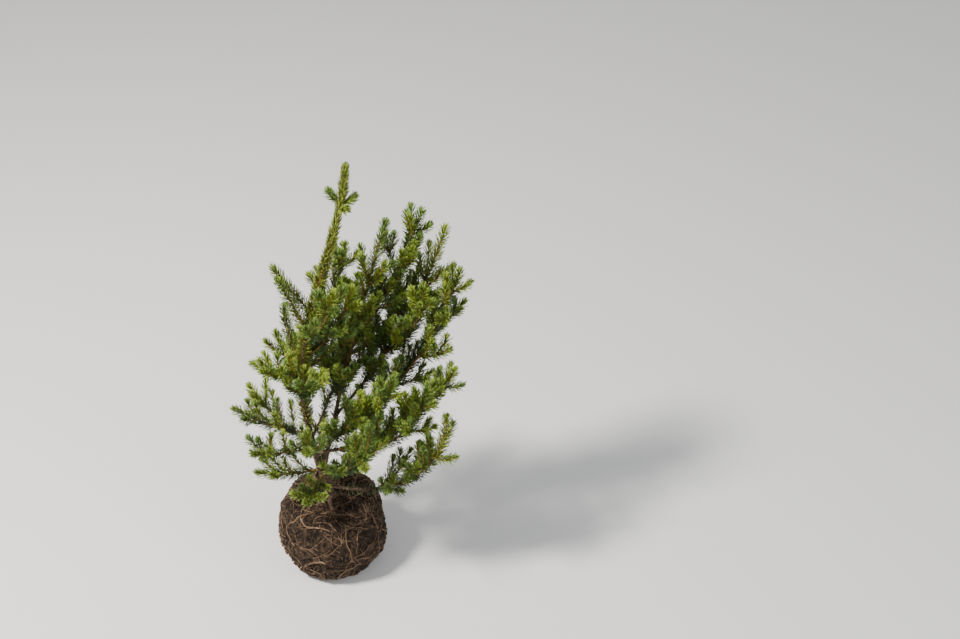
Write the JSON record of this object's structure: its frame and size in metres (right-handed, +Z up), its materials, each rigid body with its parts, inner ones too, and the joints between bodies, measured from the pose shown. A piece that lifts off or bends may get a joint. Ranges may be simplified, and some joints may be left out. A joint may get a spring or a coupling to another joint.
{
  "type": "spruce sapling with root ball",
  "caption": "Young spruce sapling standing on its round root ball, with a bowed leader, a forking second stem and ascending needled branches.",
  "frame": {"origin": "centre of the root ball's flat underside", "axes": "+Z up along the tree, +X to the right and +Y away as the picture sees it"},
  "size_m": [0.3551, 0.2598, 0.7226],
  "materials": {
    "soil": "rough",
    "bark": "rough",
    "needles": "satin"
  },
  "bodies": {
    "root": {"bough_fan_back": "bark", "bough_fan_middle": "bark", "bough_fan_right": "bark", "bough_front_low": "bark", "bough_front_rise": "bark", "bough_front_tall": "bark", "bough_front_wide": "bark", "bough_low_back": "bark", "bough_low_back_right": "bark", "bough_low_front": "bark", "bough_low_left": "bark", "bough_low_left_back": "bark", "bough_low_left_front": "bark", "bough_second_stem": "bark", "foliage_base_back": "needles", "foliage_base_front": "needles", "foliage_base_left": "needles", "foliage_base_right": "needles", "foliage_fan_back": "needles", "foliage_fan_front": "needles", "foliage_fan_middle": "needles", "foliage_fan_right": "needles", "foliage_front_fork": "needles", "foliage_front_low": "needles", "foliage_front_middle": "needles", "foliage_front_right": "needles", "foliage_front_rise": "needles", "foliage_front_tall": "needles", "foliage_front_wide": "needles", "foliage_leader_long": "needles", "foliage_leader_low": "needles", "foliage_leader_lowest": "needles", "foliage_leader_tip": "needles", "foliage_low_back": "needles", "foliage_low_back_right": "needles", "foliage_low_front": "needles", "foliage_low_left": "needles", "foliage_low_left_back": "needles", "foliage_low_left_front": "needles", "foliage_middle_back": "needles", "foliage_middle_front": "needles", "foliage_middle_left": "needles", "foliage_middle_left_back": "needles", "foliage_middle_left_front": "needles", "foliage_second_stem": "needles", "foliage_stem_back": "needles", "foliage_top_back": "needles", "foliage_top_front": "needles", "foliage_top_left": "needles", "foliage_top_right": "needles", "foliage_upper_back": "needles", "foliage_upper_front": "needles", "foliage_upper_left": "needles", "foliage_upper_left_front": "needles", "foliage_upper_left_low": "needles", "foliage_upper_right": "needles", "root_ball": "soil", "trunk": "bark"}
  },
  "joints": []
}
